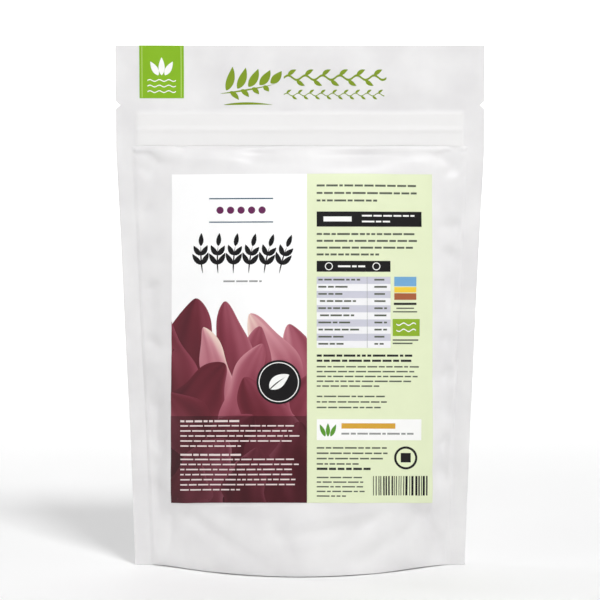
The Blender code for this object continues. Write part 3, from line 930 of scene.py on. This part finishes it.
# bladeColours: tones rise towards the tip and one margin, with faint streaks along the blade
def bladeColours(rows, columns, palest, lit, phase):
    along = (1 - np.cos(np.linspace(0, math.pi, rows)[:, None])) / 2
    side = np.linspace(-1, 1, columns)[None, :]
    streaks = 0.16 * np.sin(side * 9 + phase) + 0.22 * np.sin(along * 11 + side * 3 + phase)
    edge = 0.55 * ramp(0.72, 1, np.abs(side))
    tone = palest * (0.3 + 0.62 * along) + lit * side * 0.75 + streaks + edge
    tone = np.clip(tone, 0, len(picture["tones"]) - 1.001)
    tones = np.array([ink(*shade) for shade in picture["tones"]])
    cell = tone.astype(int)
    return tones[cell] + (tones[cell + 1] - tones[cell]) * (tone - cell)[..., None]


def makePicture():
    art = Print(onLabel, labelTop + label["inkGap"])
    x, y = np.meshgrid(np.arange(0, 66, 1.5), np.linspace(0, 1, 50))
    x = np.minimum(x, picture["right"])
    waves = (high * np.sin(x / long + phase) for high, long, phase in picture["crownWaves"])
    crown = picture["crown"] - sum(waves)
    y = crown + (picture["bottom"] + 0.5 - crown) * y
    addToPicture(art, x, y, np.broadcast_to(ink(*picture["tones"][0]), (*x.shape, 3)), picture["base"])
    for number, (*shape, palest, lit) in enumerate(picture["blades"], start=1):
        rows, columns = (int(shape[place] / picture["cell"]) for place in (2, 5))  # length, width
        x, y = bladeShape(*shape, rows, columns, *picture["form"], number * 1.7)
        shades = bladeColours(rows, columns, palest, lit, number * 2.3)
        addToPicture(art, x, y, shades, picture["base"] + picture["layer"] * number)
    art.finish("label_picture", "label")


print("picture")
makePicture()


# Print on the labels and the film: rows of short bars, and plain shapes
def barRows(art, left, right, top, count, pitch, height, colour, layer=0.03, last=0.6):
    for row in range(count):
        fill = last if row == count - 1 else art.draw.uniform(0.92, 1)
        barRow(art, left, right, top + row * pitch, height, colour, layer, fill)


# sprig: a curved stem with pairs of leaves at a steady spacing, and one at its tip
def sprig(art, x, y, length, heading, bend, leaf, pairs, colour):
    stem = bladeShape(x, y, length, heading, bend, leaf * 0.1, rows=14, columns=2)
    art.add(*stem, colour)
    stations = (1 - np.cos(np.linspace(0, math.pi, 14))) / 2
    for number in range(pairs):
        at = (number + 1) / (pairs + 1)
        turn = heading + bend * at
        base = [np.interp(at, stations, line.mean(axis=1)) for line in stem]
        for way in (-1, 1):
            blade(art, *base, leaf * (1.1 - 0.4 * at), turn + way * 48, -way * 26,
                  leaf * 0.36, colour, rows=9, columns=3)
    tip = [line[-1].mean() for line in stem]
    blade(art, *tip, leaf * 0.9, heading + bend, 0, leaf * 0.34, colour, rows=9, columns=3)


# vine: a waved stem with a leaf standing out at every crest and hollow
def vine(art, left, right, y, height, pitch, thickness, leaf, colour):
    wave(art, left, right, y, height, pitch, thickness, colour)
    for number in range(int(2 * (right - left) / pitch)):
        way = 1 if number % 2 else -1
        at = left + pitch * (number / 2 + 0.25)
        blade(art, at, y - way * height, leaf, 90 - way * 52, way * 34, leaf * 0.42,
              colour, rows=9, columns=4)


# stripes: every other row shaded, with a short row of bars at its left and one at its right
def stripes(art, left, top, width, height, rows):
    bar(art, left, top, width, height, "pale", 0.03)
    pitch = height / rows
    for row in range(rows):
        if row % 2 == 0:
            bar(art, left, top + row * pitch, width, pitch, "lilac", 0.05)
        indent = 1.6 if row in (3, 5) else 0.8
        lineTop, tall = top + (row + 0.3) * pitch, pitch * 0.24
        end = left + width * art.draw.uniform(0.36, 0.6)
        barRow(art, left + indent, end, lineTop, tall, "moss", 0.075)
        barRow(art, left + width * 0.78, left + width * 0.95, lineTop, tall, "moss", 0.075)
    bar(art, left + width * 0.68, top, 0.18, height, "grey", 0.07)


# unevenBars: upright bars of four widths, drawn at random, with gaps of three
def unevenBars(art, left, right, top, height, colour):
    while left < right:
        width = art.draw.choice([0.35, 0.45, 0.7, 1])
        bar(art, left, top, width, height, colour)
        left += width + art.draw.choice([0.45, 0.6, 0.9])


# What is printed, in order: what draws it and its values, in millimetres from the label's top left
# corner. After the ink may come its layer, and then its own last values
leftPrint = [
    (bar, 18, 11.6, 31, 0.55, "teal"), (bar, 18, 23, 31, 0.55, "teal"),
    *((disc, 23.3 + 5.1 * number, 17.5, 1.75, "plum", 0.03, 8) for number in range(5)),
    *((sprig, 15 + 7.4 * number, 48.2, 13.4, -10 + 4 * number, 12, 7, 2, "black") for number in range(6)),
    (barRow, 25, 43.5, 51.6, 0.8, "grey"),
    (disc, 51.8, 101, 10.7, "black", 0.205, 26), (ring, 51.8, 101, 9.7, 0.42, "white", 0.225),
    (blade, 47.6, 104.4, 11.6, 42, 22, 6.2, "white", 0.225),
    (blade, 46.2, 106, 11.4, 40, 20, 0.55, "black", 0.24, 16, 2),
    (barRows, 4.6, 62.6, 119.5, 1, 2.45, 0.95, "blush", 0.205, 0.5),
    (barRows, 4.6, 62.6, 121.9, 5, 2.45, 0.65, "blush", 0.205, 0.5),
    (barRows, 4.6, 62.6, 135.8, 1, 2.45, 0.95, "blush", 0.205, 0.5),
    (barRows, 4.6, 62.6, 138.2, 7, 2.45, 0.65, "blush", 0.205, 0.5),
]
rightPrint = [
    (barRows, 70.1, 120.4, 5.2, 3, 3.6, 0.95, "moss"),
    (bar, 70.1, 18.2, 50.8, 7.3, "black"),
    (barRows, 92, 119.2, 19.8, 2, 2.8, 0.8, "white", 0.065, 0.5),
    (bar, 73.4, 20.6, 13.6, 2.4, "white", 0.065),
    (barRows, 70.1, 120.4, 28.6, 4, 3.3, 0.95, "moss"),
    (bar, 70.1, 42.1, 35.7, 5.3, "black"),
    (ring, 76, 44.75, 1.9, 0.4, "white", 0.065), (ring, 99, 44.75, 1.9, 0.4, "white", 0.065),
    (barRow, 80.4, 94.6, 44.3, 0.9, "white", 0.065),
    (stripes, 70.1, 49.8, 35.7, 34.6, 10),
    # three plain bands over three short lines, then a green block with two short lines under it
    (bar, 107.6, 49.8, 10.6, 4.6, "sky"), (bar, 107.6, 54.8, 10.6, 2.6, "maize"),
    (bar, 107.6, 57.8, 10.6, 3.2, "rust"), (bar, 107.4, 62.4, 10.9, 1.1, "charcoal"),
    (bar, 108.6, 64.8, 8.5, 0.6, "moss"), (bar, 107, 66.5, 11.6, 0.6, "moss"),
    (bar, 106.8, 70.3, 13.1, 8.3, "grass"),
    (wave, 108.6, 118.1, 72.8, 0.6, 4.75, 0.55, "white", 0.065),
    (wave, 108.6, 118.1, 75.8, 0.6, 4.75, 0.55, "white", 0.065),
    (bar, 106.8, 80.2, 12.4, 0.7, "moss"), (bar, 106.8, 81.8, 9.6, 0.7, "moss"),
    (barRows, 70.1, 119.6, 87.6, 2, 2.5, 1.05, "charcoal", 0.03, 0.95),
    (barRows, 70.1, 120.4, 93.2, 5, 2.35, 0.7, "moss"),
    (barRows, 70.1, 104.4, 107.6, 3, 2.7, 0.7, "moss", 0.03, 0.9),
    (bar, 70.1, 119, 50.3, 10.2, "ivory", 0.03),
    *((blade, 74.2 + 1.3 * number, 127.4, 6.4, -24 + 24 * number, 0, 2.1, "leaf", 0.055, 9)
      for number in range(3)),
    (bar, 82, 121, 26, 2.6, "ochre", 0.055), (barRow, 82, 117, 125.6, 0.9, "grey", 0.055),
    (barRows, 70.1, 105.6, 132.6, 4, 2.6, 0.75, "moss"), (barRow, 70.1, 96, 142.6, 1.1, "charcoal"),
    (disc, 113, 137.8, 5.6, "black", 0.03, 18), (disc, 113, 137.8, 4.5, "paper", 0.055, 16),
    (bar, 110.6, 135.4, 4.8, 4.6, "black", 0.075),
    (barRows, 70.1, 93.4, 147, 5, 2.25, 0.65, "moss"),
    (unevenBars, 97.2, 123.8, 146.6, 9.4, "black"),
]
# Film heights rise where the label's own heights fall, so headings count from straight down here
tagPrint = [
    (bar, -77.2, 234.8, 0.35, 24.8, "line"), (bar, -58.2, 234.8, 0.35, 24.8, "line"),
    *((blade, -67.5 + 1.6 * way, 245.6, 8.6 - abs(way), 180 - 30 * way, 0, 3, "white")
      for way in (-1, 0, 1)),
    *((wave, -74.4, -60.6, 237.6 + 2.7 * row, 0.45, 4.6, 0.5, "white") for row in range(3)),
]
headerPrint = [
    *((blade, -36 + 5.4 * step, 238.2 + 0.9 * step, 12 - step, 152 - 7 * step, 26, 3.9, "lime")
      for step in range(5)),
    *((blade, -34.2 + 5.4 * step, 237.6 + 0.9 * step, 6 - 0.7 * step, 62, -30, 2.4, "lime")
      for step in range(4)),
    (blade, -39, 236.6, 27.5, 96, 8, 0.8, "lime", 0.03, 24),
    (blade, -37.2, 231.2, 24, 96, -12, 1.2, "lime", 0.03, 24),
    (vine, -7.9, 42.2, 244.4, 1.1, 8.4, 1.1, 4.9, "lime"),
    (vine, -7.9, 41.2, 236.2, 0.7, 5.6, 0.5, 2.8, "lime"),
]


def printAll(name, slotName, place, base, shapes, seed=0):
    art = Print(place, base, seed)
    for shape, *values in shapes:
        shape(art, *values)
    art.finish(name, slotName)


print("label print")
printAll("label_print", "label", onLabel, labelTop + label["inkGap"], leftPrint + rightPrint, seed=5)

# The header: the green tag, and a sprig, two strokes and two vines printed straight on the film
header = {"tagLeft": -78.3, "tagRight": -56.7, "tagHeight": 25.6, "green": (132, 181, 6),
          "thickness": 0.12, "inkGap": 0.004}


def makeTag():
    bottom = pouch["height"] - header["tagHeight"]
    x, y = np.meshgrid(np.linspace(header["tagLeft"], header["tagRight"], 16),
                       np.linspace(bottom, pouch["height"], 18))
    low = pouch["film"] / 2 + label["gap"]
    high = low + header["thickness"]
    points, faces, _ = closedSheet(onHeader(x, y, high), onHeader(x, y, low))
    piece = makePiece("tag_sheet", points, faces, paperLook, ["green_tag"])
    addColours(piece, np.broadcast_to(ink(*header["green"]), (len(points), 3)))
    printAll("tag_print", "tag", onHeader, high + label["inkGap"], tagPrint)


print("header")
makeTag()
printAll("header_print", "tag", onHeader, pouch["film"] / 2 + header["inkGap"], headerPrint)

# Studio
studio = {
    "floor": 6, "drop": 0.0003, "wallAt": 3.4, "wallHeight": 4, "curve": 1.4,
    "floorGrey": (0.93, 0.93, 0.93), "mottle": 0.985, "rough": 0.7,
    "world": 0.36, "glow": 0.7, "glowFrom": 0.05, "glowTo": 1.5, "aim": (0, 0, 0.12),
}
lights = [
    # name, place, size, watts
    ("key", (0.55, -1.35, 1.9), 0.5, 29),
    ("fill", (-1.9, -1, 0.5), 0.6, 6),
    ("side", (1.9, -0.7, 0.5), 0.6, 3),
    ("back", (-1.9, 0.75, 1.1), 0.28, 7),
]


# makeFloor: a floor that turns up behind the object in a quarter circle
def makeFloor():
    bend = np.linspace(0, math.pi / 2, 13)
    start = studio["wallAt"] - studio["curve"]
    y = np.concatenate([[-studio["floor"]], start + studio["curve"] * np.sin(bend), [studio["wallAt"]]])
    z = np.concatenate([[0], studio["curve"] * (1 - np.cos(bend)), [studio["wallHeight"]]]) - studio["drop"]
    x, y = np.meshgrid([-studio["floor"], studio["floor"]], y)
    points = np.stack([x, y, z[:, None] + 0 * x], axis=-1)
    corner = np.arange(y.size).reshape(-1, 2)
    faces = np.stack([corner[:-1, 0], corner[:-1, 1], corner[1:, 1], corner[1:, 0]], axis=-1)
    mesh = bpy.data.meshes.new("floor")
    mesh.from_pydata(points.reshape(-1, 3).tolist(), [], faces.tolist())
    mesh.shade_smooth()
    material, tree, shader = newMaterial("pale_floor", {
        "Roughness": studio["rough"], "Emission Color": (1, 1, 1, 1)})
    where = addNode(tree, "ShaderNodeTexCoord").outputs["Object"]
    mottle = addNode(tree, "ShaderNodeTexNoise", {"Vector": where, "Scale": 3})
    split = addNode(tree, "ShaderNodeSeparateXYZ", {0: where})
    far = addNode(tree, "ShaderNodeMapRange", {
        0: split.outputs["Y"], 1: studio["glowFrom"], 2: studio["glowTo"], 3: 0, 4: studio["glow"],
    }, interpolation_type="SMOOTHSTEP")
    tree.links.new(far.outputs[0], shader.inputs["Emission Strength"])
    low = tuple(value * studio["mottle"] for value in studio["floorGrey"])
    grey = colourBetween(tree, mottle.outputs[0], low, studio["floorGrey"])
    tree.links.new(grey, shader.inputs["Base Color"])
    mesh.materials.append(material)
    floor = placeObject("floor", mesh)


def makeLights():
    for name, place, size, watts in lights:
        lamp = bpy.data.lights.new(name, "AREA")
        lamp.energy, lamp.size = watts, size
        made = placeObject(name, lamp)
        made.location = place
        heading = Vector(studio["aim"]) - made.location
        made.rotation_euler = heading.to_track_quat("-Z", "Y").to_euler()
    world = bpy.data.worlds.new("studio")
    world.use_nodes = True
    sky = world.node_tree.nodes["Background"].inputs
    sky["Color"].default_value = (1, 1, 1, 1)
    sky["Strength"].default_value = studio["world"]
    bpy.context.scene.world = world


def makeCamera():
    made = placeObject("camera", bpy.data.cameras.new("camera"))
    made.location = (0, -camera["distance"] * mm, camera["height"] * mm)
    made.rotation_euler = (math.radians(90 - camera["pitch"]), 0, 0)
    made.data.sensor_width = 36
    made.data.lens = camera["focalPixels"] / camera["frame"] * 36
    bpy.context.scene.camera = made


print("studio")
bpy.context.scene.view_settings.view_transform = "Standard"
makeFloor()
makeLights()
makeCamera()
